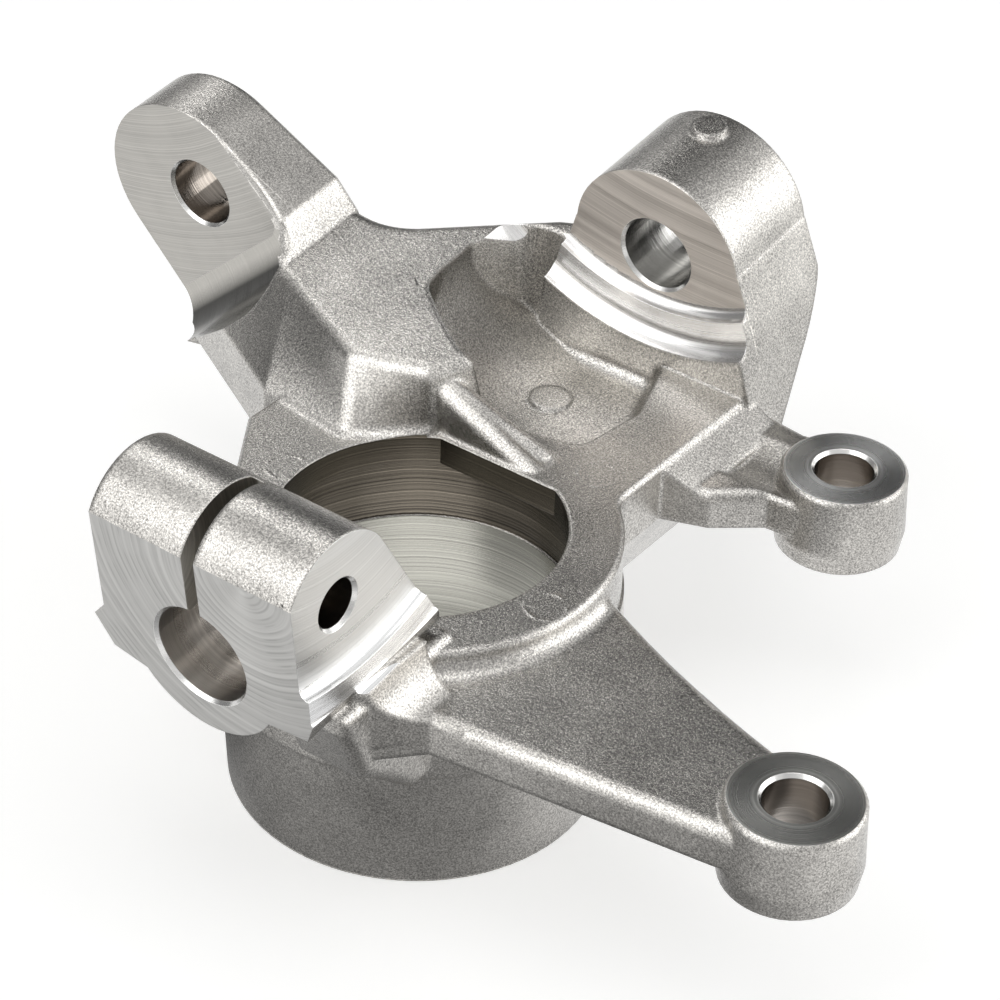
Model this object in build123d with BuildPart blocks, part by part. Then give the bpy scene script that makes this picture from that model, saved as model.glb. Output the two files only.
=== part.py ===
from build123d import *
from math import cos, radians, sin
import os

# Steering knuckle: one aluminium casting with machined bores and faces.
# The origin is the bottom centre of the bearing barrel. Z runs up the wheel axis, Y follows
# the kingpin axis towards the rear ball joint, X points to the side of the caliper lugs.

# Barrel and hub, all round the wheel axis
barrel_radius = 47.6
barrel_flare = 1.6
hub_top = 72.2
hub_radius = 49.5
hub_bottom = 34.0
lip_radius = 36.0
lip_depth = 7.5
lip_flat = 31.4
bearing_radius = 40.0
bearing_relief = 0.6
bearing_seat_top = 45.0
seal_radius = 41.5
seal_depth = 6.0

# Casting rules
parting_level = 56.0
keel_draft = 26.0
cast_round = 3.0
plate_round = 4.0
web_root = 4.5
cast_edge = 1.0
table_slope = 9.0
edge_break = 0.8

# Kingpin axis, shared by both ball joints, and its machined faces
kingpin_height = 90.28
kingpin_tilt = 6.17
front_face = 79.9
rear_face = 98.4
rear_back = 131.6

# Front clamp block with its pinch bolt
clamp_bore_radius = 12.75
clamp_wall = 8.75
clamp_left = 28.5
clamp_right = 29.0
clamp_flank = 33.0
pinch_y = -66.6
pinch_rise = 12.42
pinch_round = 17.6
pinch_bolt_radius = 6.0
clamp_slit = 3.6
facing_radius = 72.0
facing_y = -66.0
facing_low = 83.6
facing_step = 2.4
facing_ledge = 7.2
facing_foot = 1.6
saw_radius = 32.0
saw_y = -90.0
saw_rise = 21.72

# Rear ball joint boss on its pedestal
rear_bore_radius = 10.1
boss_round = 24.8
boss_foot = 36.0
boss_waist = 14.0
pedestal_front = 91.0
shoulder_radius = 57.2
shoulder_x = 1.6
shoulder_up = 43.2
shoulder_step = 3.0
shoulder_ledge = 9.0
shoulder_foot = 4.3
shoulder_reach = 14.0
pad_radius = 4.6
pad_height = 1.2
pad_back = 122.6

# Steering arm: a tilted plate ending in an upright tab
plate_drop = 4.28
notch_round = 20.0
tab_x = -119.2
tab_drop = 3.9
tab_round = 26.0
tab_front = 57.7
tab_back = 77.0
tab_hole_radius = 9.5
tab_lip = 12.5
tab_floor = 31.3
tab_floor_slope = 42.0
tab_relief = 12.0
tab_corner = 16.0
tab_reach = 31.5

# Caliper lugs on their webs
lug_top = 70.0
lug_bottom = 48.0
lug_radius = 16.0
lug_hole_radius = 7.5
lug_1 = (66.5, 87.1)
lug_2 = (122.6, -24.9)
lug_bulge = 0.8
web_top = 66.5
web_1_dish_radius = 22.0
web_1_dish_depth = 2.6
web_1_dish = (50.5, 80.5)

# Pocket between the plate and the rear boss
pocket_floor = 63.5
pocket_round = 5.0
pocket_rim = 2.0
groove_radius = 2.4
disc_radius = 5.6
disc_spot = (-13.5, 73.0)

tilt = radians(kingpin_tilt)
floor_turn = radians(tab_floor_slope)
plate_height = kingpin_height - plate_drop
pinch_z = kingpin_height + pinch_rise
saw_z = kingpin_height + saw_rise
kingpin = Plane(
    origin=(0, 0, kingpin_height), x_dir=(1, 0, 0), z_dir=(0, -cos(tilt), -sin(tilt))
)
plate = Plane(origin=(0, 0, plate_height), x_dir=(1, 0, 0), z_dir=(0, -sin(tilt), cos(tilt)))
top_plane = Plane.XY.offset(hub_top)
parting = Plane.XY.offset(parting_level)

# Outline of hub and table, seen from above
with BuildSketch(top_plane) as table_outline:
    Circle(hub_radius)
    with BuildLine():
        Polyline(
            (32, 0.69 * hub_radius), (32.3, 75), (32.6, 98), (24, 122), (-28, 124), (-60, 80),
            (-1.24 * hub_radius, 9), (-0.93 * hub_radius, -15), (0, 0), close=True,
        )
    make_face()
    fillet(table_outline.vertices().filter_by_position(Axis.Y, 20, 130), 2 * cast_round)

# Hub and table with the long web, rounded at its root and along its rim
with BuildPart() as body:
    extrude(table_outline.sketch, amount=-(hub_top - parting_level))
    chamfer(body.edges().group_by(Axis.Z)[-1], cast_edge)
    with BuildSketch(parting):
        with BuildLine():
            Polyline(
                (46, 13.5), (10, 20), (10, -60), (33, -60), (42, -50.2), (112.7, -41), (123, -39),
                (137, -26), (123, -9), (109, -10.3),
            )
            ThreePointArc((109, -10.3), (79, -0.9), (46, 13.5))
        make_face()
    extrude(amount=web_top - parting_level)
    web_edges = body.edges().filter_by_position(Axis.Z, web_top, web_top)
    rim_edges = web_edges.filter_by_position(Axis.X, 34, 140)
    fillet(rim_edges.filter_by(lambda edge: (edge @ 0.5).length > 85), cast_round)
    web_edges = body.edges().filter_by_position(Axis.Z, web_top, web_top)
    root_edges = web_edges.filter_by(GeomType.CIRCLE).filter_by_position(Axis.Y, -53, 15)
    fillet(root_edges.sort_by(Edge.length)[-1], web_root)

# Short web with a shallow dish behind its front rim
with BuildPart() as short_web:
    with BuildSketch(parting):
        with BuildLine():
            Polyline(
                (48, 99), (36, 100.5), (20, 100), (20, 45), (31.7, 56.4), (44, 61), (55, 70),
                (66, 71), (66, 103), close=True,
            )
        make_face()
    extrude(amount=web_top - parting_level)
    fillet(short_web.edges().group_by(Axis.Z)[-1], cast_round)
    with Locations((web_1_dish[0], web_1_dish[1], web_top + web_1_dish_radius - web_1_dish_depth)):
        Cylinder(web_1_dish_radius, 80, rotation=(0, 90, 10), mode=Mode.SUBTRACT)

# Slope that runs from the right edge of the table down to the short web
with BuildPart() as slope:
    with BuildSketch(Plane.XZ.offset(-100)):
        with BuildLine():
            Polyline(
                (28, 60), (28, hub_top - cast_edge), (32, hub_top - cast_edge),
                (32.5 + table_slope, web_top - 1), (32.5 + table_slope, 60), close=True,
            )
        make_face()
    extrude(amount=60)
    with BuildSketch(Plane.XY.offset(60)):
        with BuildLine():
            Polyline((28, 53), (31.7, 56.4), (44, 61), (44, 97), (28, 97), close=True)
        make_face()
    extrude(amount=30, mode=Mode.INTERSECT)

# Lugs: drafted both ways from the parting line, with faced ends
with BuildPart() as lugs:
    for x, y in (lug_1, lug_2):
        with BuildSketch(Plane.XZ.offset(-y)):
            with BuildLine():
                Polyline(
                    (x, lug_bottom),
                    (x + lug_radius - edge_break, lug_bottom),
                    (x + lug_radius, lug_bottom + edge_break),
                    (x + lug_radius + lug_bulge, parting_level - 2),
                    (x + lug_radius, lug_top - edge_break),
                    (x + lug_radius - edge_break, lug_top),
                    (x, lug_top),
                    close=True,
                )
            make_face()
        revolve(axis=Axis((x, y, 0), (0, 0, 1)))

# Barrel, body and the sloping keel below the parting level
with BuildPart() as hub:
    with BuildSketch(Plane.XZ):
        with BuildLine():
            Polyline(
                (0, 0),
                (barrel_radius, 0),
                (barrel_radius + barrel_flare, hub_bottom),
                (hub_radius + 1.5, hub_bottom + 2),
                (hub_radius + 0.6, parting_level),
                (0, parting_level),
                close=True,
            )
        make_face()
    revolve(axis=Axis.Z)
    extrude(
        table_outline.sketch.moved(Location((0, 0, parting_level - hub_top))),
        amount=-(parting_level - hub_bottom),
        taper=keel_draft,
    )

# Steering arm: a tilted plate on a drafted foot, with a round notch in its rear edge
with BuildSketch(top_plane) as arm_foot:
    with BuildLine():
        Polyline(
            (-66, 20.5), (-37, 17.5), (-20, 31), (-10, 60), (-20, 113), (-35, 106), (-68, 79),
            (-88, 81), (-123, 75), (-121, 51), close=True,
        )
    make_face()
    fillet(arm_foot.vertices().sort_by_distance((-68, 79, hub_top))[0], notch_round)

with BuildPart() as arm:
    with BuildSketch(plate) as arm_top:
        with BuildLine():
            Polyline(
                (-75, 43), (-44.4, 27.8), (-23, 33), (-10, 60), (-20, 110), (-33.5, 104),
                (-68.7, 76), (-88, 78.5), (-124, 74), (-128, 64), close=True,
            )
        make_face()
        fillet(arm_top.vertices().sort_by_distance((-68.7, 76, plate_height))[0], notch_round)
    add(arm_foot.sketch)
    loft(ruled=True)
    fillet(arm.faces().sort_by(Axis.Z)[-1].edges(), plate_round)
    fillet(arm.edges().sort_by_distance((-40.7, 22.6, 80.6))[0], 2 * cast_round)
    extrude(arm_foot.sketch, amount=-(hub_top - parting_level))
    extrude(
        arm_foot.sketch.moved(Location((0, 0, parting_level - hub_top))),
        amount=-8,
        taper=keel_draft,
    )

# Upright tab at the end of the arm
with BuildPart() as tab:
    with BuildSketch(kingpin.offset(tab_lip - tab_front)):
        with BuildLine():
            CenterArc((tab_x - 4.5, -tab_drop - 1), tab_round, 0, 360)
            Polyline(
                (tab_x - 4.5, -46.5), (tab_x + 8, -44), (tab_x + 40, -22), (tab_x + 40, -5),
                (tab_x + 33.2, 3.8),
            )
        make_hull()
    extrude(amount=tab_front - tab_back - tab_lip)
    chamfer(tab.faces().sort_by(Axis.Y)[-1].edges(), cast_round / 2)

# Rear ball joint boss on its pedestal
with BuildPart() as boss:
    with BuildSketch(kingpin.offset(-pedestal_front)) as boss_outline:
        Circle(boss_round)
        with BuildLine():
            Polyline(
                (-boss_round, 3), (-30, -13), (-boss_foot, -50), (boss_foot + 2, -50), (30, -13),
                (boss_round, 3), close=True,
            )
        make_face()
        fillet(boss_outline.vertices().filter_by(lambda v: 29 < abs(v.X) < 31), boss_waist)
    extrude(amount=-(rear_back - pedestal_front))
    chamfer(boss.faces().sort_by(Axis.Y)[-1].edges(), cast_round / 2)
    with BuildSketch(Plane.YZ.offset(-60)):
        with BuildLine():
            ThreePointArc((132.5, 102), (128.2, 88), (119, 74))
            Polyline((119, 74), (98, 48), (150, 30), (150, 102), (132.5, 102))
        make_face()
    extrude(amount=120, mode=Mode.SUBTRACT)
    with BuildSketch(
        Plane(
            origin=kingpin.from_local_coords((0, boss_round - 2, -pad_back)),
            x_dir=(1, 0, 0),
            z_dir=(0, -sin(tilt), cos(tilt)),
        )
    ):
        Circle(pad_radius)
    extrude(amount=2 + pad_height)

# Front clamp
with BuildPart() as clamp:
    with BuildSketch(Plane.YZ.offset(-clamp_flank)):
        with Locations((pinch_y, pinch_z)):
            Circle(pinch_round)
        with BuildLine():
            Polyline(
                (pinch_y - pinch_round, pinch_z), (pinch_y - pinch_round, 58), (-49, 45), (-20, 45),
                (-20, 66), (-28, 72.2), (pinch_y + 15.2, pinch_z + 8.8), (pinch_y, pinch_z), close=True,
            )
        make_face()
    extrude(amount=2 * clamp_flank)
    with BuildSketch(kingpin.offset(95)):
        with BuildLine():
            Polyline(
                (-clamp_left, 45), (-clamp_left, 0), (-31.9, -3.4), (-27, -11), (0, -16),
                (19, -10.5), (30, -9.4), (clamp_flank, -1), (clamp_flank, 45), close=True,
            )
        make_face()
        Circle(clamp_bore_radius + clamp_wall)
    extrude(amount=-90, mode=Mode.INTERSECT)
    fillet(clamp.faces().sort_by(Axis.X)[0].edges().group_by(Axis.Z)[-1], cast_round)

# Pocket: a drafted hollow whose left side ramps up to the plate
with BuildPart() as pocket:
    with BuildSketch(Plane.XY.offset(pocket_floor)) as pocket_outline:
        with BuildLine():
            Polyline(
                (-42, 62), (-32, 54), (-20, 46), (10, 52), (13, 72), (5, 94), (-36, 94), (-44, 78),
                close=True,
            )
        make_face()
        fillet(pocket_outline.vertices(), pocket_round)
    extrude(amount=40, taper=-6)
    fillet(pocket.edges().group_by(Axis.Z)[0], pocket_round - 1)
    with BuildSketch(Plane.XZ.offset(-100)):
        with BuildLine():
            ThreePointArc((-46, 94), (-36.7, 72.9), (-14, pocket_floor))
            Polyline((-14, pocket_floor), (40, pocket_floor), (40, 110), (-46, 110), (-46, 94))
        make_face()
    extrude(amount=80, mode=Mode.INTERSECT)

# Crest between the bore and the pocket, falling from the plate to the table
with BuildPart() as crest:
    with BuildSketch(Plane.YZ.offset(-28)):
        with BuildLine():
            Polyline((32.5, 66), (34.5, 87.5), (39.5, 90), (50, 66), close=True)
        make_face()
    with BuildSketch(Plane.YZ.offset(13)):
        with BuildLine():
            Polyline((31.5, 66), (33, 71), (43.5, 71.5), (47, 66), close=True)
        make_face()
    loft(ruled=True)
    fillet(crest.edges().filter_by(lambda edge: edge.length > 30 and (edge @ 0.5).Z > 75), cast_round)
    with BuildLine() as groove_path:
        Line((-22, 35.5, 90.5), (10, 39.2, 73.5))
    with BuildSketch(Plane(origin=groove_path.line @ 0, z_dir=groove_path.line % 0)):
        Circle(groove_radius)
    sweep(path=groove_path.line, mode=Mode.SUBTRACT)

# Chin that carries the clamp down onto the barrel
with BuildPart() as chin:
    with BuildSketch(Plane.YZ.offset(15)):
        with BuildLine():
            Polyline(
                (-70.5, 74), (-70, 69), (-66, 60), (-63, 52), (-54, 45), (-44, 36), (-30, 36), (-30, 74),
                close=True,
            )
        make_face()
    extrude(amount=18.4)
    fillet(chin.faces().sort_by(Axis.X)[-1].edges().filter_by_position(Axis.Y, -71, -31), cast_round)

# Saddle that sweeps from the long web up to the side of the clamp
with BuildPart() as saddle:
    with BuildSketch(Plane.XZ.offset(40)):
        with BuildLine():
            ThreePointArc((33, 78), (36.5, 69.5), (50, 66))
            Polyline((50, 66), (50, 60), (15, 60), (15, 78), (33, 78))
        make_face()
    extrude(amount=30)
    with BuildSketch(Plane.XY.offset(60)):
        with BuildLine():
            Polyline((15, -30), (15, -68), (31, -64), (42, -50.2), (55, -48.5), (55, -30), close=True)
        make_face()
    extrude(amount=30, mode=Mode.INTERSECT)

# Face mill of the rear boss: two steps with hollow roots, the second wider and less deep
shoulder_cuts = []
for depth, radius, root in (
    (rear_face, shoulder_radius, shoulder_step),
    (rear_face - shoulder_step, shoulder_radius + shoulder_ledge, shoulder_foot),
):
    with BuildPart() as step:
        with BuildSketch(kingpin.offset(-depth)):
            with Locations((shoulder_x, shoulder_up)):
                Circle(radius)
        extrude(amount=shoulder_reach)
        fillet(step.faces().sort_by(Axis.Y)[-1].edges(), root)
    shoulder_cuts.append(step.part)

# Mill of the steering tab: flat face, deep round relief and a floor that runs forward
tab_face = Plane(
    origin=kingpin.offset(-tab_front).from_local_coords((tab_x, -tab_drop, 0)),
    x_dir=(cos(floor_turn), -sin(tilt) * sin(floor_turn), cos(tilt) * sin(floor_turn)),
    z_dir=(0, -cos(tilt), -sin(tilt)),
)
with BuildPart() as tab_mill:
    with BuildSketch(tab_face):
        with Locations((tab_reach, -tab_floor)):
            Rectangle(100, 80, align=(Align.MAX, Align.MIN))
    extrude(amount=60)
    mill_corner = tab_face.from_local_coords((tab_reach, -tab_floor, 30))
    fillet(tab_mill.edges().sort_by_distance(mill_corner)[0], tab_corner)
    mill_root = tab_face.from_local_coords((0, -tab_floor, 0))
    fillet(tab_mill.edges().sort_by_distance(mill_root)[0], tab_relief)

# Mill under the bolt head: it faces the clamp and leaves a stepped ledge below
facing_cuts = []
for depth, drop, root in ((0, 0, facing_step), (facing_step, facing_ledge, facing_foot)):
    with BuildPart() as step:
        with BuildSketch(Plane.YZ.offset(clamp_right + depth)):
            with Locations((facing_y, facing_low + facing_radius)):
                Circle(facing_radius + drop)
        extrude(amount=20)
        fillet(step.faces().sort_by(Axis.X)[0].edges(), root)
    facing_cuts.append(step.part)

# The raw casting
with BuildPart() as casting:
    add(body.part)
    add(arm.part)
    foot_edges = casting.edges().filter_by_position(Axis.Z, hub_top, hub_top)
    foot_edges = foot_edges.filter_by_position(Axis.Y, 12, 35).filter_by_position(Axis.X, -60, -24)
    fillet(foot_edges.filter_by(lambda edge: (edge @ 0.5).Y > 17), plate_round)
    add(pocket.part, mode=Mode.SUBTRACT)
    rim_edges = casting.edges().filter_by_position(Axis.Z, hub_top, hub_top)
    rim_edges = rim_edges.filter_by_position(Axis.X, -18, 16).filter_by_position(Axis.Y, 44, 96)
    fillet(rim_edges, pocket_rim)
    add(hub.part)
    add(crest.part)
    add(lugs.part)
    add(short_web.part)
    add(slope.part)
    add(tab.part)
    add(boss.part)
    add(chin.part)
    add(saddle.part)
    add(clamp.part)
    with BuildSketch(Plane.XY.offset(pocket_floor - 1)):
        with Locations(disc_spot):
            Circle(disc_radius)
    extrude(amount=2)

# The machined part
with BuildPart() as knuckle:
    add(casting.part)
    # Bearing bore, opened from below, and the flattened lip above it
    with BuildSketch(Plane.XY.offset(bearing_seat_top)):
        Circle(bearing_radius)
    extrude(amount=-bearing_seat_top, mode=Mode.SUBTRACT)
    with BuildSketch(Plane.XY.offset(hub_top - lip_depth)):
        Circle(bearing_radius + bearing_relief)
    extrude(amount=bearing_seat_top + lip_depth - hub_top, mode=Mode.SUBTRACT)
    with BuildSketch(Plane.XY.offset(seal_depth)):
        Circle(seal_radius)
    extrude(amount=-seal_depth, mode=Mode.SUBTRACT)
    with BuildSketch(Plane.XY.offset(hub_top + 30)):
        Circle(lip_radius)
        with Locations((0, lip_flat + lip_radius)):
            Rectangle(lip_radius * 2, lip_radius * 2, mode=Mode.SUBTRACT)
    extrude(amount=-60, mode=Mode.SUBTRACT)
    # Machined face of the front clamp
    with BuildSketch(kingpin.offset(front_face)):
        Rectangle(90, 120)
    extrude(amount=30, mode=Mode.SUBTRACT)
    add(facing_cuts, mode=Mode.SUBTRACT)
    add(shoulder_cuts, mode=Mode.SUBTRACT)
    add(tab_mill.part, mode=Mode.SUBTRACT)
    # Ball joint bores and steering hole, each with a broken edge at its mouth
    with Locations(kingpin.offset(front_face).location):
        CounterSinkHole(clamp_bore_radius, clamp_bore_radius + edge_break, 60)
    with Locations(kingpin.offset(-rear_face).location):
        CounterSinkHole(rear_bore_radius, rear_bore_radius + edge_break, 50)
    with Locations(tab_face.location):
        CounterSinkHole(tab_hole_radius, tab_hole_radius + edge_break, 40)
    # Pinch bolt: clear under the head, tapped beyond the slit
    with Locations(Location((clamp_right, pinch_y, pinch_z), (0, 90, 0))):
        CounterSinkHole(pinch_bolt_radius, pinch_bolt_radius + edge_break, clamp_right)
        Hole(pinch_bolt_radius - 1, 80)
    with Locations((lug_1[0], lug_1[1], lug_top), (lug_2[0], lug_2[1], lug_top)):
        CounterSinkHole(lug_hole_radius, lug_hole_radius + edge_break, 40)
    with BuildSketch(Plane.YZ.offset(-clamp_slit / 2)):
        with Locations((saw_y, saw_z)):
            Circle(saw_radius)
    extrude(amount=clamp_slit, mode=Mode.SUBTRACT)

os.makedirs("parts", exist_ok=True)
knuckle.part.label = "knuckle"
export_step(knuckle.part, "parts/knuckle.step")
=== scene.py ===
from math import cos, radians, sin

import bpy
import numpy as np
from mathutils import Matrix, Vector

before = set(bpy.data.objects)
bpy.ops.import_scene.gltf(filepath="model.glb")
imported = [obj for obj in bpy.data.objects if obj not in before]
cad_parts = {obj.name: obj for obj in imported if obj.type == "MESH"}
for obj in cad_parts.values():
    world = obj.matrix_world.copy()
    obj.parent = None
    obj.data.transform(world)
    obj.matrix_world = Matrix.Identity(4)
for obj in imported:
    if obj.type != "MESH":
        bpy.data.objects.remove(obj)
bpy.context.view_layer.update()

# %% [markdown]
# The steering knuckle is one aluminium casting. Its shape is already complete in the frame, so
# this lesson adds no pieces. It gives each kind of surface the finish that the real one shows:
# grit-blasted skin where the mould left it, and cut metal where a mill, a boring bar or a saw
# has been. Every length is in metres. The barrel stands on the floor at the origin, Z runs up
# the wheel axis and Y along the kingpin axis.

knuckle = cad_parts["knuckle"]

# %% [markdown]
# The camera decides what the other choices have to show, so it comes first. It stands where the
# photographer stood: to the right of the clamp, looking down at about 36 degrees. A long lens
# keeps the casting's depth from spreading.

# %% Camera
SENSOR_MM = 36.0
CAMERA_PLACE = Vector((0.358446, -0.471415, 0.514513))
CAMERA_AZIMUTH = 35.3947
CAMERA_ELEVATION = 36.2728
CAMERA_ROLL = 2.0644
LENS_PER_WIDTH = 3.077679

camera_data = bpy.data.cameras.new("camera")
camera_data.sensor_width = SENSOR_MM
camera_data.lens = LENS_PER_WIDTH * SENSOR_MM
camera = bpy.data.objects.new("camera", camera_data)
turn = Matrix.Rotation(radians(CAMERA_AZIMUTH), 4, "Z")
nod = Matrix.Rotation(radians(90 - CAMERA_ELEVATION), 4, "X")
roll = Matrix.Rotation(radians(CAMERA_ROLL), 4, "Z")
camera.matrix_world = Matrix.Translation(CAMERA_PLACE) @ turn @ nod @ roll
bpy.context.scene.collection.objects.link(camera)
bpy.context.scene.camera = camera
bpy.context.scene.view_settings.view_transform = "Standard"
print("camera:", round(camera_data.lens, 1), "mm lens at", CAMERA_PLACE)

# %% [markdown]
# The finishes are shader trees, so a few helpers come next. Most add one node, and let a number,
# a triple or another node's output go into any socket. The scale of a noise is given in grains
# per millimetre, because that is how a surface is judged.

# %% Helpers for shader trees
MM = 1000.0


def node(tree, kind, **settings):
    made = tree.nodes.new(kind)
    for key, value in settings.items():
        setattr(made, key, value)
    return made


def feed(tree, socket, value):
    """Gives a socket a number, a triple or another node's output."""
    if isinstance(value, bpy.types.NodeSocket):
        tree.links.new(value, socket)
    elif isinstance(value, (int, float)):
        socket.default_value = value
    else:
        socket.default_value = tuple(value)


def calc(tree, operation, *values):
    """A Math node's result."""
    made = node(tree, "ShaderNodeMath", operation=operation)
    for socket, value in zip(made.inputs, values):
        feed(tree, socket, value)
    return made.outputs[0]


def vector(tree, operation, first, second=None, scale=None):
    """A Vector Math node's result: a number for a length or a dot product, else a vector."""
    made = node(tree, "ShaderNodeVectorMath", operation=operation)
    feed(tree, made.inputs[0], first)
    if second is not None:
        feed(tree, made.inputs[1], second)
    if scale is not None:
        feed(tree, made.inputs["Scale"], scale)
    return made.outputs["Value" if operation in ("LENGTH", "DOT_PRODUCT") else "Vector"]


def spread(tree, value, low, high, to_low=0.0, to_high=1.0, shape="LINEAR"):
    """Stretches a value's range, with its ends held."""
    made = node(tree, "ShaderNodeMapRange", interpolation_type=shape)
    feed(tree, made.inputs["Value"], value)
    ends = {"From Min": low, "From Max": high, "To Min": to_low, "To Max": to_high}
    for name, number in ends.items():
        feed(tree, made.inputs[name], number)
    return made.outputs["Result"]


def noise(tree, place, per_mm, detail=2.0, roughness=0.5):
    made = node(tree, "ShaderNodeTexNoise")
    feed(tree, made.inputs["Vector"], place)
    feed(tree, made.inputs["Scale"], per_mm * MM)
    feed(tree, made.inputs["Detail"], detail)
    feed(tree, made.inputs["Roughness"], roughness)
    return made.outputs["Fac"]


def noise_along(tree, distance, scale, detail, roughness=0.5):
    """Noise that changes in one direction only."""
    made = node(tree, "ShaderNodeTexNoise", noise_dimensions="1D")
    feed(tree, made.inputs["W"], distance)
    feed(tree, made.inputs["Scale"], scale)
    feed(tree, made.inputs["Detail"], detail)
    feed(tree, made.inputs["Roughness"], roughness)
    return made.outputs["Fac"]


def object_place(tree):
    """The place on the object itself, so that a finish keeps its real size."""
    return node(tree, "ShaderNodeTexCoord").outputs["Object"]


def new_material(name):
    made = bpy.data.materials.new(name)
    made.use_nodes = True
    made.node_tree.nodes.clear()
    return made, made.node_tree


def show(tree, surface, kind="ShaderNodeOutputMaterial"):
    tree.links.new(surface, node(tree, kind).inputs["Surface"])


def new_group(name, inputs, outputs):
    """An empty shader group with named sockets."""
    group = bpy.data.node_groups.new(name, "ShaderNodeTree")
    for socket, kind, value in inputs:
        made = group.interface.new_socket(socket, in_out="INPUT", socket_type=kind)
        made.default_value = value
    for socket in outputs:
        group.interface.new_socket(socket, in_out="OUTPUT", socket_type="NodeSocketFloat")
    return group, node(group, "NodeGroupInput"), node(group, "NodeGroupOutput")


print("a metre is", MM, "mm in the scales of noise")

# %% [markdown]
# Metal shows what stands around it, so a studio for bare metal is mostly large pale and dark
# cards. The floor is a matt white sheet. It glows a little for the camera and for reflections,
# which keeps it white, while the light that it gives back to the world still carries the shadow.

# %% Floor
FLOOR_SIZE = 8.0
FLOOR_COLOUR = (0.80, 0.80, 0.79, 1)
FLOOR_GLOW = 0.45


def seen_directly(tree):
    """A value of 1 for camera, glossy and transmission rays."""
    path = node(tree, "ShaderNodeLightPath").outputs
    seen = calc(tree, "MAXIMUM", path["Is Camera Ray"], path["Is Glossy Ray"])
    return calc(tree, "MAXIMUM", path["Is Transmission Ray"], seen)


def plane_object(name, width, depth):
    """A flat sheet around its own origin."""
    flat = bpy.data.meshes.new(name)
    x, y = width / 2, depth / 2
    flat.from_pydata([(-x, -y, 0), (x, -y, 0), (x, y, 0), (-x, y, 0)], [], [(0, 1, 2, 3)])
    sheet = bpy.data.objects.new(name, flat)
    bpy.context.scene.collection.objects.link(sheet)
    return sheet


floor = plane_object("floor", FLOOR_SIZE, FLOOR_SIZE)
floor_paint, tree = new_material("floor_white")
matt = node(tree, "ShaderNodeBsdfDiffuse")
feed(tree, matt.inputs["Color"], FLOOR_COLOUR)
glow = node(tree, "ShaderNodeEmission")
feed(tree, glow.inputs["Strength"], calc(tree, "MULTIPLY", seen_directly(tree), FLOOR_GLOW))
both = node(tree, "ShaderNodeAddShader")
tree.links.new(matt.outputs[0], both.inputs[0])
tree.links.new(glow.outputs[0], both.inputs[1])
show(tree, both.outputs[0])
floor.data.materials.append(floor_paint)
print("floor:", FLOOR_SIZE, "m square")

# %% [markdown]
# The world is a plain white room. What lights matt things is kept lower than what metal sees,
# so that the floor doesn't burn out.

# %% World
ROOM_LIGHT = 0.55

world = bpy.data.worlds.new("studio")
bpy.context.scene.world = world
world.use_nodes = True
tree = world.node_tree
tree.nodes.clear()
room = node(tree, "ShaderNodeBackground")
feed(tree, room.inputs["Strength"], spread(tree, seen_directly(tree), 0, 1, ROOM_LIGHT, 1.0))
show(tree, room.outputs[0], "ShaderNodeOutputWorld")
print("room light:", ROOM_LIGHT)

# %% [markdown]
# Lamps and cards are placed by direction and distance from the hub, each facing it. Cards are
# seen by the metal alone: the camera looks past them, and they throw no shadow on the floor.
# A tone above 1 is a bright panel, a tone near 0 is black cloth. The black card stands where
# the hub's flat top looks, and the brightest one just above it where the tilted plate looks,
# so the two flats differ in tone.

# %% Lamps and cards
HUB = Vector((0, 0.02, 0.06))
LAMPS = (  # name, azimuth, elevation, distance, size, watts
    ("lamp_right", 35, 25, 1.5, (1.1, 0.9), 5),
    ("lamp_front", 250, 45, 1.5, (1.1, 1.1), 5),
    ("lamp_top", 300, 80, 1.4, (0.8, 0.8), 3),
)
CARDS = (  # name, azimuth, elevation, distance, size, tone
    ("panel_front", 252, 25, 1.7, (1.7, 2.2), 1.5),
    ("panel_right", 36, 6, 1.7, (1.7, 1.5), 1.8),
    ("panel_top", 250, 78, 1.8, (1.0, 1.0), 0.95),
    ("panel_back", 138, 51, 1.6, (0.55, 0.40), 4.2),
    ("card_back", 140, 4, 1.6, (1.7, 1.0), 0.25),
    ("card_left", 195, 10, 1.6, (1.6, 1.4), 0.22),
    ("card_dark", 110, 38, 1.45, (0.96, 0.96), 0.0),
    ("card_side", 325, 15, 1.7, (1.1, 1.5), 0.55),
)


def facing_hub(azimuth, elevation, distance):
    """A place in that direction from the hub, turned so that its -Z looks back at the hub."""
    a, e = radians(azimuth), radians(elevation)
    away = Vector((cos(a) * cos(e), sin(a) * cos(e), sin(e)))
    turned = away.to_track_quat("Z", "Y").to_matrix().to_4x4()
    return Matrix.Translation(HUB + away * distance) @ turned


def softbox(name, azimuth, elevation, distance, size, watts):
    lamp = bpy.data.lights.new(name, "AREA")
    lamp.shape = "RECTANGLE"
    lamp.size, lamp.size_y = size
    lamp.energy = watts
    holder = bpy.data.objects.new(name, lamp)
    holder.matrix_world = facing_hub(azimuth, elevation, distance)
    bpy.context.scene.collection.objects.link(holder)
    print("softbox", name, size, "m,", watts, "W")


def card(name, stand, size, tone):
    """A glowing sheet of that tone that only the metal sees, and its shader tree."""
    sheet = plane_object(name, *size)
    sheet.matrix_world = stand
    paint, tree = new_material(name)
    shine = node(tree, "ShaderNodeEmission")
    feed(tree, shine.inputs["Color"], (tone, tone, tone, 1))
    show(tree, shine.outputs[0])
    sheet.data.materials.append(paint)
    sheet.visible_camera = False
    sheet.visible_diffuse = False
    sheet.visible_shadow = False
    print("card", name, size, "m, tone", tone)
    return shine, tree


for lamp in LAMPS:
    softbox(*lamp)
for name, *stand, size, tone in CARDS:
    card(name, facing_hub(*stand), size, tone)

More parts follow.
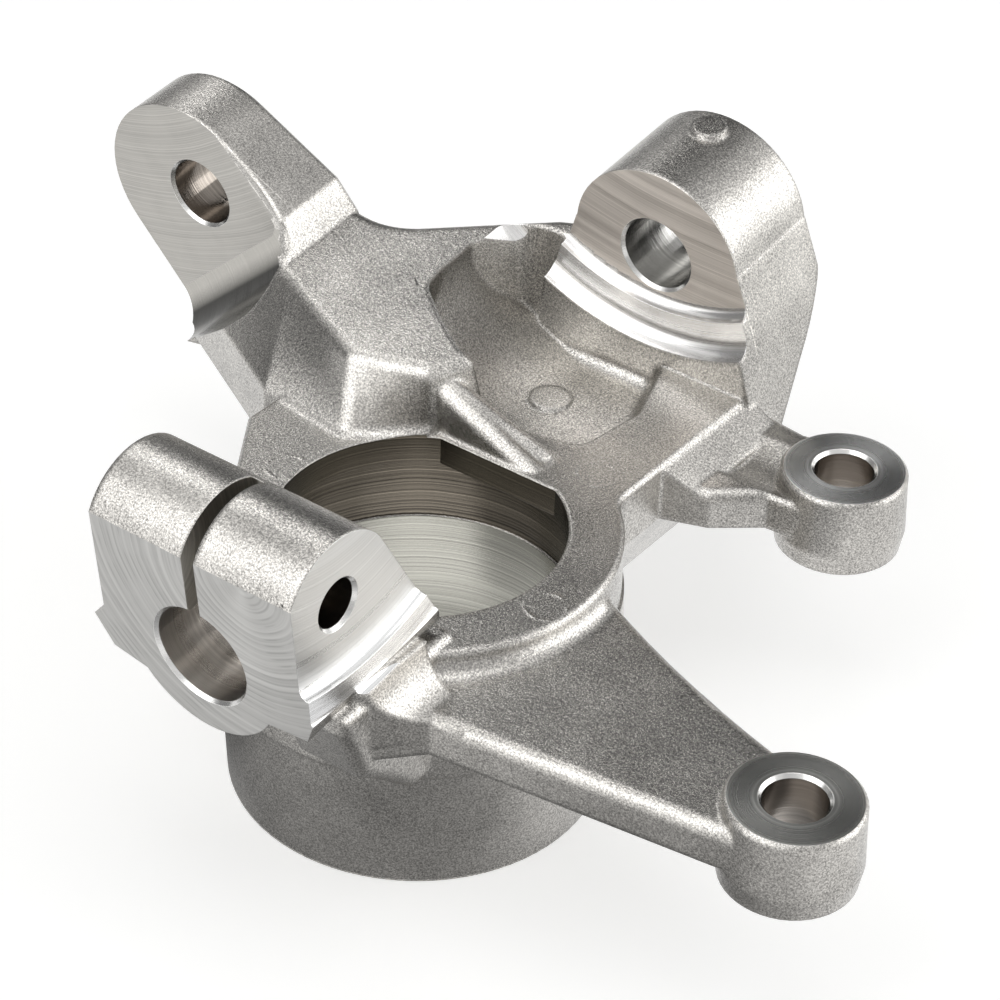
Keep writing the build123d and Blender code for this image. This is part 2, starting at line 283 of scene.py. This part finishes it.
# %% [markdown]
# Two more cards lie on the floor. A small bright one inside the barrel lights the bore from
# below. Round the part's foot the metal sees a floor in its own shade. That shade is a large
# grey sheet that fades outwards from three blots, darkest at the barrel's left.

# %% Cards on the floor
BORE_CARD_PLACE = (0.008, -0.012, 0.0008)
BORE_CARD_SIZE = (0.046, 0.046)
BORE_CARD_TONE = 2.0
SHADE_PLACE = (0, 0, 0.0005)
SHADE_SIZE = (0.7, 0.6)
SHADES = (  # centre, squeeze in X and Y, where the fade begins and ends, darkest tone
    ((0.03, -0.06), (0.5, 1.0), (0.02, 0.09), 0.32),
    ((-0.09, -0.02), (1.0, 1.0), (0.03, 0.08), 0.08),
    ((0.13, -0.11), (0.6, 1.0), (0.02, 0.09), 0.55),
)

card("card_bore", Matrix.Translation(BORE_CARD_PLACE), BORE_CARD_SIZE, BORE_CARD_TONE)
shine, tree = card("card_floor", Matrix.Translation(SHADE_PLACE), SHADE_SIZE, 1.0)
place = object_place(tree)
shade = 1.0
for centre, squeeze, fade, darkest in SHADES:
    oval = vector(tree, "MULTIPLY", vector(tree, "SUBTRACT", place, (*centre, 0)), (*squeeze, 1))
    blot = spread(tree, vector(tree, "LENGTH", oval), *fade, darkest, 1.0, "SMOOTHSTEP")
    shade = calc(tree, "MULTIPLY", shade, blot)
feed(tree, shine.inputs["Strength"], shade)
print("shade on the floor:", len(SHADES), "blots")

# %% [markdown]
# Each kind of cut has its own place on the casting, and that place is a plane or a cylinder
# with exact numbers. So the faces are sorted by testing their corners against those planes and
# cylinders. This needs no hand picking, and it stays right when the model is built again.

# %% Corners of every face
mesh = knuckle.data
corner_count = len(mesh.loops)
corner_vertex = np.zeros(corner_count, int)
mesh.loops.foreach_get("vertex_index", corner_vertex)
vertex_place = np.zeros(len(mesh.vertices) * 3)
mesh.vertices.foreach_get("co", vertex_place)
corners = vertex_place.reshape(-1, 3)[corner_vertex].reshape(-1, 3, 3)
print("faces sorted by corners:", corners.shape)

# %% [markdown]
# The cuts were made in two frames. The wheel axis is plain Z. The kingpin axis is tilted a little
# and runs through both ball joints, so their faces, bores and steps are measured from it. FIT is
# how far a corner may lie from the place that it is tested against.

# %% Frames of the cuts
KINGPIN_HEIGHT = 0.09028
KINGPIN_TILT = radians(6.17)
KINGPIN_ORIGIN = np.array((0, 0, KINGPIN_HEIGHT))
KINGPIN_AXIS = np.array((0, cos(KINGPIN_TILT), sin(KINGPIN_TILT)))
KINGPIN_UP = np.array((0, -sin(KINGPIN_TILT), cos(KINGPIN_TILT)))
X_AXIS = np.array((1.0, 0, 0))
Z_AXIS = np.array((0, 0, 1.0))
FIT = 0.00012


def kingpin_point(across, up, ahead):
    """A point given across, above and along the kingpin axis."""
    return KINGPIN_ORIGIN + across * X_AXIS + up * KINGPIN_UP + ahead * KINGPIN_AXIS


def along(point, axis):
    """How far every corner lies from the point along the axis."""
    return (corners - point) @ axis


def within(point, axis, reach):
    """Faces whose corners all lie within reach along the axis."""
    place = along(point, axis)
    return (place > reach[0] - FIT).all(1) & (place < reach[1] + FIT).all(1)


def from_axis(point, axis):
    """How far every corner lies from the axis itself."""
    offset = corners - point
    return np.linalg.norm(offset - (offset @ axis)[..., None] * axis, axis=2)


def on_plane(point, axis):
    """Faces whose corners all lie in the plane."""
    return (abs(along(point, axis)) < FIT).all(1)


def on_bore(point, axis, radius, reach):
    """Faces whose corners all lie at that radius, within reach of the point."""
    near = (abs(from_axis(point, axis) - radius) < FIT).all(1)
    return near & within(point, axis, reach)


def on_ring(point, axis, radius, place, tube):
    """Faces whose corners all lie on the tube of a ring round the axis, place along it."""
    out = from_axis(point, axis) - radius
    up = along(point, axis) - place
    return (abs(np.hypot(out, up) - tube) < FIT).all(1)


def between_radii(point, axis, inner, outer, reach):
    """Faces whose corners all lie between two radii and within reach of the point."""
    far = from_axis(point, axis)
    inside = (far > inner - FIT).all(1) & (far < outer + FIT).all(1)
    return inside & within(point, axis, reach)


print("kingpin axis:", KINGPIN_AXIS.round(4), "at height", KINGPIN_HEIGHT)

# %% [markdown]
# Now the places themselves. Each is a plane, a bore, a ring or a sum of them, with the sizes that
# the model was built with. Two cuts are stepped, the shoulder round the rear joint and the band
# under the pinch bolt, so they share one test. The mouths of the holes have a narrow edge of
# their own, because the cut that takes off the burr leaves a bright line there.

# %% Places of the cuts
CLAMP_FACE = -0.0799
CLAMP_MOUTH = kingpin_point(0, 0, CLAMP_FACE)
CLAMP_RADIUS = 0.01275
BOSS_FACE = 0.0984
BOSS_MOUTH = kingpin_point(0, 0, BOSS_FACE)
BOSS_RADIUS = 0.0101
SHOULDER = kingpin_point(0.0016, 0.0432, BOSS_FACE)
SHOULDER_STEPS = (0.0572, 0.0030, 0.0662, 0.0043, 0.0170)  # in the order of stepped()
TAB_FACE = 0.0577
TAB_HOLE = kingpin_point(-0.1192, -0.0039, TAB_FACE)
TAB_RADIUS = 0.0095
TAB_SLOPE = radians(42)
TAB_DOWN = sin(TAB_SLOPE) * X_AXIS - cos(TAB_SLOPE) * KINGPIN_UP
TAB_RUN = np.cross(KINGPIN_AXIS, TAB_DOWN)
TAB_CUTTER_RADIUS = 0.012
TAB_RELIEF_END = 0.0313
FACING = np.array((0.029, -0.066, 0.1556))
FACING_RADIUS = 0.0696
FACING_STEPS = (0.0720, 0.0024, 0.0792, 0.0016, 0.0200)  # in the order of stepped()
SAW = np.array((0, -0.09, 0.112))
SAW_RADIUS = 0.032
SLIT_HALF = 0.0018
SLIT_END = -0.03
PINCH_MOUTH = np.array((0.029, -0.0666, 0.1027))
PINCH_CLEAR_RADIUS = 0.006
PINCH_THREAD_RADIUS = 0.005
LUG_TOP = 0.070
LUG_BOTTOM = 0.048
LUGS = (np.array((0.0665, 0.0871, LUG_TOP)), np.array((0.1226, -0.0249, LUG_TOP)))
LUG_RADIUS = 0.0075
LUG_FACE_RADIUS = 0.0162
HUB_TOP = 0.0722
HUB_MOUTH = np.array((0, 0, HUB_TOP))
HUB_REACH = (-0.08, 0.03)
SEAL_DEPTH = 0.006
SEAL_RADIUS = 0.0415
BEARING_RADIUS = 0.0400
BEARING_RELIEF_RADIUS = 0.0406
LIP_DEPTH = 0.0075
LIP_RADIUS = 0.0360
LIP_FLAT = 0.0314
EDGE_WIDTH = 0.0008
EDGE_DEPTH = 0.0010


def stepped(point, axis, inner, step, outer, foot, depth):
    """Faces of a stepped cut: a round down to a ledge, a second round, then a wall."""
    ledge = between_radii(point, axis, inner, outer - foot, (step, step))
    first = on_ring(point, axis, inner - step, step, step)
    second = on_ring(point, axis, outer - foot, step + foot, foot)
    return ledge | first | second | on_bore(point, axis, outer, (step + foot, depth))


def level(height):
    """Faces that lie flat at that height."""
    return on_plane(np.array((0, 0, height)), Z_AXIS)


relief_centre = TAB_HOLE - TAB_CUTTER_RADIUS * KINGPIN_AXIS
relief_centre += (TAB_RELIEF_END - TAB_CUTTER_RADIUS) * TAB_DOWN
beside_slit = (abs(abs(corners[:, :, 0]) - SLIT_HALF) < FIT).all(1)
before_saw = (corners[:, :, 1] < SLIT_END).all(1)
lip_flat = (abs(corners[:, :, 1] - LIP_FLAT) < FIT).all(1)
inside_lip = (from_axis(HUB_MOUTH, Z_AXIS) < LIP_RADIUS + FIT).all(1)

places = {
    "clamp_face": on_plane(CLAMP_MOUTH, KINGPIN_AXIS),
    "boss_face": on_plane(BOSS_MOUTH, KINGPIN_AXIS),
    "tab_face": on_plane(TAB_HOLE, KINGPIN_AXIS),
    "tab_relief": on_bore(relief_centre, TAB_RUN, TAB_CUTTER_RADIUS, (-0.1, 0.1))
    | on_plane(TAB_HOLE + TAB_RELIEF_END * TAB_DOWN, TAB_DOWN),
    "shoulder": stepped(SHOULDER, -KINGPIN_AXIS, *SHOULDER_STEPS),
    "bolt_facing": between_radii(FACING, X_AXIS, 0, FACING_RADIUS, (0, 0)),
    "bolt_step": stepped(FACING, X_AXIS, *FACING_STEPS),
    "slit": beside_slit & before_saw | on_bore(SAW, X_AXIS, SAW_RADIUS, (-SLIT_HALF, SLIT_HALF)),
    "ring": level(0) | level(HUB_TOP - LIP_DEPTH) | level(SEAL_DEPTH),
    "bore": on_bore(HUB_MOUTH, Z_AXIS, SEAL_RADIUS, HUB_REACH)
    | on_bore(HUB_MOUTH, Z_AXIS, BEARING_RADIUS, HUB_REACH),
    "lip": on_bore(HUB_MOUTH, Z_AXIS, LIP_RADIUS, HUB_REACH)
    | on_bore(HUB_MOUTH, Z_AXIS, BEARING_RELIEF_RADIUS, HUB_REACH)
    | lip_flat & inside_lip,
    "clamp_bore": on_bore(CLAMP_MOUTH, KINGPIN_AXIS, CLAMP_RADIUS, (0, 0.06)),
    "boss_bore": on_bore(BOSS_MOUTH, KINGPIN_AXIS, BOSS_RADIUS, (0, 0.05)),
    "tab_bore": on_bore(TAB_HOLE, KINGPIN_AXIS, TAB_RADIUS, (0, 0.05)),
    "hole": on_bore(PINCH_MOUTH, X_AXIS, PINCH_CLEAR_RADIUS, (-0.03, 0))
    | on_bore(PINCH_MOUTH, X_AXIS, PINCH_THREAD_RADIUS, (-0.09, 0)),
    "edge": np.zeros(len(corners), bool),
}
places["shoulder"] &= ~places["boss_face"]
for name, lug in zip(("lug_1_face", "lug_2_face"), LUGS):
    near = (from_axis(lug, Z_AXIS) < LUG_FACE_RADIUS).all(1)
    places[name] = near & (level(LUG_TOP) | level(LUG_BOTTOM))
    places["hole"] |= on_bore(lug, Z_AXIS, LUG_RADIUS, (-0.03, 0))
holes = places["clamp_bore"] | places["boss_bore"] | places["tab_bore"] | places["hole"]
for point, axis, radius in (
    (CLAMP_MOUTH, KINGPIN_AXIS, CLAMP_RADIUS),
    (BOSS_MOUTH, KINGPIN_AXIS, BOSS_RADIUS),
    (TAB_HOLE, KINGPIN_AXIS, TAB_RADIUS),
    (PINCH_MOUTH, -X_AXIS, PINCH_CLEAR_RADIUS),
    (LUGS[0], -Z_AXIS, LUG_RADIUS),
    (LUGS[1], -Z_AXIS, LUG_RADIUS),
):
    mouth = between_radii(point, axis, radius, radius + EDGE_WIDTH, (0, EDGE_DEPTH))
    places["edge"] |= mouth & ~holes
for name, chosen in places.items():
    print(name, int(chosen.sum()), "faces")

# %% [markdown]
# Grit blasting leaves the mould's skin as millions of small dents, each with one tiny facet
# that flashes. Close up this is a fine grain of light and dark with a few sparks, over slow
# changes of tone. The group gives all of it as heights and masks, so every cast surface can
# use it. It reads object coordinates, so the grain has its real size and stays on the metal.

# %% Group: blasted grain
FINE_PER_MM = 2.2
DENTS_PER_MM = 0.75
SLOW_PER_MM = 0.05
FINE_HEIGHT = 0.65
DENTS_HEIGHT = 0.40
SPECKLE_TONE = 0.8
SPECKLE_RANGE = (0.34, 0.66)
DRIFT_TONE = 0.2
DRIFT_RANGE = (0.30, 0.70)
SPARK_RANGE = (0.62, 0.74)


def blasted_grain():
    group, _, end = new_group("blasted grain", (), ("Height", "Tone", "Spark"))
    place = object_place(group)
    fine = noise(group, place, FINE_PER_MM, 3.0, 0.8)
    dents = noise(group, place, DENTS_PER_MM, 1.0)
    slow = noise(group, place, SLOW_PER_MM, 3.0)
    dents = calc(group, "MULTIPLY", dents, DENTS_HEIGHT)
    feed(group, end.inputs["Height"], calc(group, "MULTIPLY_ADD", fine, FINE_HEIGHT, dents))
    speckle = spread(group, fine, *SPECKLE_RANGE, -1.0, 1.0)
    speckle = calc(group, "MULTIPLY", speckle, SPECKLE_TONE)
    drift = spread(group, slow, *DRIFT_RANGE, -1.0, 1.0)
    feed(group, end.inputs["Tone"], calc(group, "MULTIPLY_ADD", drift, DRIFT_TONE, speckle))
    feed(group, end.inputs["Spark"], spread(group, fine, *SPARK_RANGE))
    return group


grain_group = blasted_grain()
print("group:", grain_group.name, "with", len(grain_group.nodes), "nodes")

# %% [markdown]
# A mill or a boring bar moves its edge round an axis, and each turn leaves a fine furrow. On a
# flat face the furrows are arcs about the cutter's centre, in a bore they are rings one above
# the other. Both are noise in one direction only: distance from the axis, or distance along it.
# One group makes either, and a little slow noise bends the furrows so they don't look printed.

# %% Group: cutter furrows
WANDER_PER_MM = 0.06
WANDER_TURNS = 1.2
PATCH_PER_MM = 0.12
PATCH_RANGE = (0.40, 0.60)
LINE_RANGE = (0.30, 0.48)
BAND_PER_TURN = 0.12
FURROW_RANGE = (0.3, 0.7)


def cutter_furrows():
    group, start, end = new_group(
        "cutter furrows",
        (
            ("Centre", "NodeSocketVector", (0, 0, 0)),
            ("Axis", "NodeSocketVector", (0, 0, 1)),
            ("Along Axis", "NodeSocketFloat", 0.0),
            ("Pitch", "NodeSocketFloat", 0.0005),
        ),
        ("Height", "Tone", "Band", "Line"),
    )
    place = object_place(group)
    axis = start.outputs["Axis"]
    offset = vector(group, "SUBTRACT", place, start.outputs["Centre"])
    rise = vector(group, "DOT_PRODUCT", offset, axis)
    flat = vector(group, "SUBTRACT", offset, vector(group, "SCALE", axis, scale=rise))
    distance = node(group, "ShaderNodeMix", data_type="FLOAT")
    feed(group, distance.inputs["Factor"], start.outputs["Along Axis"])
    feed(group, distance.inputs["A"], vector(group, "LENGTH", flat))
    feed(group, distance.inputs["B"], rise)
    turns = calc(group, "DIVIDE", distance.outputs["Result"], start.outputs["Pitch"])
    wander = spread(group, noise(group, place, WANDER_PER_MM, 1.0), 0, 1, -0.5, 0.5)
    turns = calc(group, "MULTIPLY_ADD", wander, WANDER_TURNS, turns)
    lap = calc(group, "ABSOLUTE", calc(group, "SUBTRACT", calc(group, "FRACT", turns), 0.5))
    patch = spread(group, noise(group, place, PATCH_PER_MM, 2.0), *PATCH_RANGE)
    line = calc(group, "MULTIPLY", spread(group, lap, *LINE_RANGE), patch)
    furrow = noise_along(group, turns, 1.0, 3.0, 0.65)
    band = noise_along(group, turns, BAND_PER_TURN, 2.0)
    feed(group, end.inputs["Height"], furrow)
    feed(group, end.inputs["Tone"], spread(group, furrow, *FURROW_RANGE, -1, 1))
    feed(group, end.inputs["Band"], spread(group, band, *FURROW_RANGE, -1, 1))
    feed(group, end.inputs["Line"], line)
    return group


furrow_group = cutter_furrows()
print("group:", furrow_group.name, "with", len(furrow_group.nodes), "nodes")

# %% [markdown]
# The casting has a few marks of its making and its handling: rings where pins pushed it out of
# the mould, two half rings on the clamp, short dark nicks, and a thin bright burr where a cutter
# left the skin. Each is a distance from a point, a line or a plane, so it keeps its real size.

# %% Group: marks
RINGS = (  # centre, radius, and the side that a half ring keeps
    ((0.0219, 0.0437, 0.0722), 0.0050, None),
    ((0.0427, -0.0068, 0.0722), 0.0050, None),
    ((-0.0398, -0.0019, 0.0722), 0.0050, None),
    ((-0.0202, -0.0696, 0.1200), 0.0040, (0.3, -1.0, 0)),
    ((0.0254, -0.0701, 0.1199), 0.0036, (0.3, -1.0, 0)),
)
NICKS = (  # centre, direction, half length, half width
    ((-0.0475, 0.0595, 0.0925), (0.72, -0.68, -0.07), 0.0032, 0.0003),
    ((-0.0786, 0.0515, 0.0930), (0.49, -0.81, -0.30), 0.0050, 0.0003),
    ((0.0266, -0.0822, 0.1107), (0.80, 0.20, -0.56), 0.0030, 0.0003),
)
BURRS = (  # point and axis of the cut's plane, reach from the point, half width, strength
    (TAB_HOLE, KINGPIN_AXIS, 0.033, 0.00028, 0.9),
    (BOSS_MOUTH, KINGPIN_AXIS, 0.040, 0.00030, 0.7),
    (CLAMP_MOUTH, KINGPIN_AXIS, 0.060, 0.00025, 0.5),
)
RING_LINE = (0.0008, 0.0001)
HALF_RING_FADE = 0.001
NICK_CORE = 0.4
NICK_TAPER = 0.6
BURR_CORE = 0.5
BURR_FADE = 0.003
WORN_PER_MM = 0.35
WORN_RANGE = (0.42, 0.58)


def making_marks():
    group, _, end = new_group("making marks", (), ("Height", "Dark", "Bright"))
    place = object_place(group)
    worn = spread(group, noise(group, place, WORN_PER_MM, 2.0), *WORN_RANGE)
    height = dark = bright = 0.0
    for centre, radius, side in RINGS:
        offset = vector(group, "SUBTRACT", place, centre)
        gap = calc(group, "SUBTRACT", vector(group, "LENGTH", offset), radius)
        ring = spread(group, calc(group, "ABSOLUTE", gap), *RING_LINE)
        if side is not None:
            kept = vector(group, "DOT_PRODUCT", offset, side)
            ring = calc(group, "MULTIPLY", ring, spread(group, kept, 0, HALF_RING_FADE))
        height = calc(group, "ADD", ring, height)
    for centre, run, half, width in NICKS:
        offset = vector(group, "SUBTRACT", place, centre)
        far = vector(group, "DOT_PRODUCT", offset, run)
        length = vector(group, "LENGTH", offset)
        squares = [calc(group, "MULTIPLY", side, side) for side in (length, far)]
        aside = calc(group, "MAXIMUM", calc(group, "SUBTRACT", *squares), 0.0)
        core = spread(group, calc(group, "SQRT", aside), width, width * NICK_CORE)
        taper = spread(group, calc(group, "ABSOLUTE", far), half, half * NICK_TAPER)
        dark = calc(group, "MAXIMUM", calc(group, "MULTIPLY", core, taper), dark)
    for point, axis, reach, width, strength in BURRS:
        offset = vector(group, "SUBTRACT", place, point)
        gap = calc(group, "ABSOLUTE", vector(group, "DOT_PRODUCT", offset, axis))
        core = spread(group, gap, width, width * BURR_CORE, 0, strength)
        near = spread(group, vector(group, "LENGTH", offset), reach, reach - BURR_FADE)
        bright = calc(group, "MAXIMUM", calc(group, "MULTIPLY", core, near), bright)
    feed(group, end.inputs["Height"], calc(group, "MULTIPLY", height, worn))
    feed(group, end.inputs["Dark"], dark)
    feed(group, end.inputs["Bright"], calc(group, "MULTIPLY", bright, worn))
    return group


marks_group = making_marks()
print("group:", marks_group.name, "with", len(marks_group.nodes), "nodes")

# %% [markdown]
# The casting's edges are rounder than the few millimetres of fillet in the model, because the
# mould wears and the grit rounds them again. A Bevel node bends the normals near every edge,
# which rounds how the edge shines without touching the mesh. The grain's bump goes on top.

# %% Cast skin
CAST_COLOUR = (0.48, 0.465, 0.440)
CAST_DEEP = 0.8
CAST_ROUGHNESS = 0.27
CAST_BUMP = 0.00009
CAST_EDGE = 0.0018
SPARK_ROUGHNESS = CAST_ROUGHNESS - 0.10
NICK_TONE = -1.1
BURR_TONE = 0.9
RING_HEIGHT = 0.9
BEVEL_SAMPLES = 6


def start_metal(name):
    """A material with one metallic shader, and its tree."""
    made, tree = new_material(name)
    shader = node(tree, "ShaderNodeBsdfPrincipled")
    feed(tree, shader.inputs["Metallic"], 1.0)
    show(tree, shader.outputs[0])
    return made, tree, shader


def tinted(tree, colour, tone, depth):
    """The colour made lighter and darker by a tone from -1 to 1."""
    return vector(tree, "SCALE", colour, scale=calc(tree, "MULTIPLY_ADD", tone, depth, 1.0))


def bumped(tree, height, depth, edge):
    """Bump of that depth in metres over softly rounded edges."""
    rounded = node(tree, "ShaderNodeBevel", samples=BEVEL_SAMPLES)
    feed(tree, rounded.inputs["Radius"], edge)
    bump = node(tree, "ShaderNodeBump")
    feed(tree, bump.inputs["Distance"], depth)
    feed(tree, bump.inputs["Height"], height)
    feed(tree, bump.inputs["Normal"], rounded.outputs[0])
    return bump.outputs[0]


def cast_skin():
    made, tree, shader = start_metal("cast_skin")
    grain = node(tree, "ShaderNodeGroup", node_tree=grain_group).outputs
    marks = node(tree, "ShaderNodeGroup", node_tree=marks_group).outputs
    tone = calc(tree, "MULTIPLY_ADD", marks["Dark"], NICK_TONE, grain["Tone"])
    tone = calc(tree, "MULTIPLY_ADD", marks["Bright"], BURR_TONE, tone)
    feed(tree, shader.inputs["Base Color"], tinted(tree, CAST_COLOUR, tone, CAST_DEEP))
    rough = spread(tree, grain["Spark"], 0, 1, CAST_ROUGHNESS, SPARK_ROUGHNESS)
    feed(tree, shader.inputs["Roughness"], rough)
    height = calc(tree, "MULTIPLY_ADD", marks["Height"], RING_HEIGHT, grain["Height"])
    feed(tree, shader.inputs["Normal"], bumped(tree, height, CAST_BUMP, CAST_EDGE))
    return made


cast = cast_skin()
print("cast skin:", len(cast.node_tree.nodes), "nodes")

# %% [markdown]
# Cut faces share one recipe: bare metal with furrows that change its tone, its roughness and a
# very shallow bump. Furrows also stretch the shine across themselves, as brushing does. What
# differs is where the cutter turned, how wide its steps were, and how bright and smooth it left
# the metal, though a few colours in the table hold painted light and painted shade. The steering
# tab's relief also gets a painted dark reflection, a band painted into its colour.

# %% Recipe for cut metal
ON_FACE = 0.0
IN_BORE = 1.0
BAND_TONE = 0.6
BAND_ROUGHNESS = 0.05
CUT_EDGE = 0.0003
# How dark the painted reflection on the tab's relief gets, and how much it lightens again after.
PAINTED_REFLECTION_DARKEST = 0.09
PAINTED_REFLECTION_FOOT = 0.5


def painted_dark_reflection(tree, colour, point, axis, stops):
    """Paints a dark reflection along the axis: none before the first stop, dark between, then
    lighter.
    """
    behind = vector(tree, "DOT_PRODUCT", vector(tree, "SUBTRACT", object_place(tree), point), axis)
    first = spread(tree, behind, *stops[:2], 1.0, PAINTED_REFLECTION_DARKEST)
    second = spread(tree, behind, *stops[2:], 0.0, PAINTED_REFLECTION_FOOT)
    return vector(tree, "SCALE", colour, scale=calc(tree, "ADD", first, second))


def cut_metal(name, shine, turning, marks, painted_reflection=None):
    """Shine is colour, roughness and stretch; turning is centre, axis, pitch and kind of cut;
    marks are the strengths of tone, bump and single lines."""
    colour, roughness, stretch = shine
    centre, axis, pitch, kind = turning
    tone, depth, line = marks
    made, tree, shader = start_metal(name)
    ends = (axis, (0, 0, 0)) if kind == IN_BORE else (object_place(tree), centre)
    feed(tree, shader.inputs["Tangent"], vector(tree, "SUBTRACT", *ends))
    feed(tree, shader.inputs["Anisotropic"], stretch)
    group = node(tree, "ShaderNodeGroup", node_tree=furrow_group)
    for socket, value in zip(("Centre", "Axis", "Pitch", "Along Axis"), turning):
        feed(tree, group.inputs[socket], value)
    furrows = group.outputs
    seen = calc(tree, "MULTIPLY_ADD", furrows["Band"], BAND_TONE, furrows["Tone"])
    seen = calc(tree, "MULTIPLY_ADD", furrows["Line"], -line, seen)
    shown = tinted(tree, colour, seen, tone)
    if painted_reflection is not None:
        shown = painted_dark_reflection(tree, shown, *painted_reflection)
    feed(tree, shader.inputs["Base Color"], shown)
    rough = calc(tree, "MULTIPLY_ADD", furrows["Band"], BAND_ROUGHNESS, roughness)
    feed(tree, shader.inputs["Roughness"], rough)
    feed(tree, shader.inputs["Normal"], bumped(tree, furrows["Height"], depth, CUT_EDGE))
    return made


print("edge of a cut:", CUT_EDGE, "m, stain down to", PAINTED_REFLECTION_DARKEST)

# %% [markdown]
# The table below has one row for each cut. Face mills swept the two ball joint faces and the
# tab, so those three have a cutter centre of their own, beside the bore. Most other cuts turned
# about their own axis. The small holes and the edges share the hub's, as their furrows are too
# small to see.

# %% Cut metal
CLAMP_CUTTER = kingpin_point(0.016, 0.030, CLAMP_FACE)
BOSS_CUTTER = kingpin_point(0.020, 0.16, BOSS_FACE)
TAB_CUTTER = TAB_HOLE + 0.091 * KINGPIN_UP - 0.042 * X_AXIS
# The tab relief's painted dark reflection: a band painted into its colour, stops along the kingpin
# axis.
TAB_PAINTED_REFLECTION = (TAB_HOLE, -KINGPIN_AXIS, (0.0003, 0.0026, 0.0065, 0.0115))
CUTS = {  # name, shine, turning and marks in the order that cut_metal() takes them
    "clamp_face": (
        "clamp_milled", ((0.50, 0.495, 0.48), 0.36, 0.8),
        (CLAMP_CUTTER, KINGPIN_AXIS, 0.0018, ON_FACE), (0.12, 0.00005, 2.0),
    ),
    "boss_face": (
        "boss_milled", ((0.58, 0.535, 0.49), 0.40, 0.8),
        (BOSS_CUTTER, KINGPIN_AXIS, 0.0004, ON_FACE), (0.14, 0.00004, 0.0),
    ),
    "tab_face": (
        "tab_milled", ((0.50, 0.485, 0.455), 0.36, 0.8),
        (TAB_CUTTER, KINGPIN_AXIS, 0.0006, ON_FACE), (0.12, 0.00006, 1.5),
    ),
    "tab_relief": (
        "relief_milled", ((0.50, 0.485, 0.45), 0.22, 0.0),
        (TAB_HOLE, TAB_RUN, 0.0006, IN_BORE), (0.06, 0.00002, 0.0),
        TAB_PAINTED_REFLECTION,
    ),
    "shoulder": (
        "shoulder_milled", ((0.88, 0.87, 0.86), 0.25, 0.8),
        (SHOULDER, KINGPIN_AXIS, 0.0004, ON_FACE), (0.08, 0.00002, 0.0),
    ),
    "bolt_facing": (
        "bolt_facing_milled", ((0.66, 0.66, 0.65), 0.32, 0.4),
        (FACING, X_AXIS, 0.0006, ON_FACE), (0.08, 0.00003, 0.0),
    ),
    "bolt_step": (
        "bolt_step_milled", ((0.90, 0.90, 0.90), 0.20, 0.3),
        (FACING, X_AXIS, 0.0004, ON_FACE), (0.10, 0.00003, 0.0),
    ),
    "slit": (
        "slit_sawn", ((0.52, 0.50, 0.46), 0.45, 0.8),
        (SAW, X_AXIS, 0.0009, ON_FACE), (0.14, 0.00006, 1.0),
    ),
    # Both lug faces were cut alike; the first is painted much lighter than the second, as painted
    # light on its top.
    "lug_1_face": (
        "lug_1_faced_painted_light", ((0.96, 0.96, 0.94), 0.28, 0.6),
        (LUGS[0], Z_AXIS, 0.0006, ON_FACE), (0.20, 0.00004, 0.5),
    ),
    "lug_2_face": (
        "lug_2_faced", ((0.46, 0.46, 0.44), 0.28, 0.6),
        (LUGS[1], Z_AXIS, 0.0006, ON_FACE), (0.20, 0.00004, 0.5),
    ),
    "ring": (
        "ring_faced", ((0.50, 0.48, 0.45), 0.30, 0.8),
        (HUB_MOUTH, Z_AXIS, 0.0005, ON_FACE), (0.08, 0.00003, 0.0),
    ),
    # The bore, and its lip still more, are painted darker than the other cuts: painted shade
    # inside the barrel, darkest in the band under its mouth.
    "bore": (
        "bore_turned_painted_shade", ((0.34, 0.335, 0.30), 0.26, 0.5),
        (HUB_MOUTH, Z_AXIS, 0.0006, IN_BORE), (0.26, 0.00005, 0.0),
    ),
    "lip": (
        "lip_turned_painted_shade", ((0.125, 0.11, 0.09), 0.22, 0.6),
        (HUB_MOUTH, Z_AXIS, 0.0007, IN_BORE), (0.50, 0.00006, 0.0),
    ),
    "clamp_bore": (
        "clamp_bored", ((0.60, 0.575, 0.545), 0.26, 0.6),
        (CLAMP_MOUTH, KINGPIN_AXIS, 0.0008, IN_BORE), (0.12, 0.00003, 0.0),
    ),
    "boss_bore": (
        "boss_bored", ((0.44, 0.435, 0.42), 0.18, 0.3),
        (BOSS_MOUTH, KINGPIN_AXIS, 0.0008, IN_BORE), (0.12, 0.00003, 0.0),
    ),
    "tab_bore": (
        "tab_bored", ((0.24, 0.215, 0.19), 0.14, 0.0),
        (TAB_HOLE, KINGPIN_AXIS, 0.0008, IN_BORE), (0.16, 0.00003, 0.0),
    ),
    "hole": (
        "hole_drilled", ((0.40, 0.37, 0.34), 0.20, 0.0),
        (HUB_MOUTH, Z_AXIS, 0.0012, IN_BORE), (0.16, 0.00002, 0.0),
    ),
    "edge": (
        "edge_cut", ((0.76, 0.755, 0.74), 0.25, 0.0),
        (HUB_MOUTH, Z_AXIS, 0.0005, IN_BORE), (0.04, 0.00001, 0.0),
    ),
}

metals = {place: cut_metal(*row) for place, row in CUTS.items()}
print("cut metals:", ", ".join(metals))

# %% [markdown]
# The finishes now go onto the casting: one slot each, and every face gets the slot of its place.
# Faces that no cut has touched keep slot 0, the cast skin. Where two places overlap, the later
# one in the table wins.

# %% Finishes on the casting
mesh.materials.clear()
mesh.materials.append(cast)
slot_of_face = np.zeros(len(corners), np.int32)
for name, metal in metals.items():
    mesh.materials.append(metal)
    slot_of_face[places[name]] = len(mesh.materials) - 1
mesh.polygons.foreach_set("material_index", slot_of_face)
mesh.update()
print("cast faces:", int((slot_of_face == 0).sum()), "cut faces:", int((slot_of_face > 0).sum()))
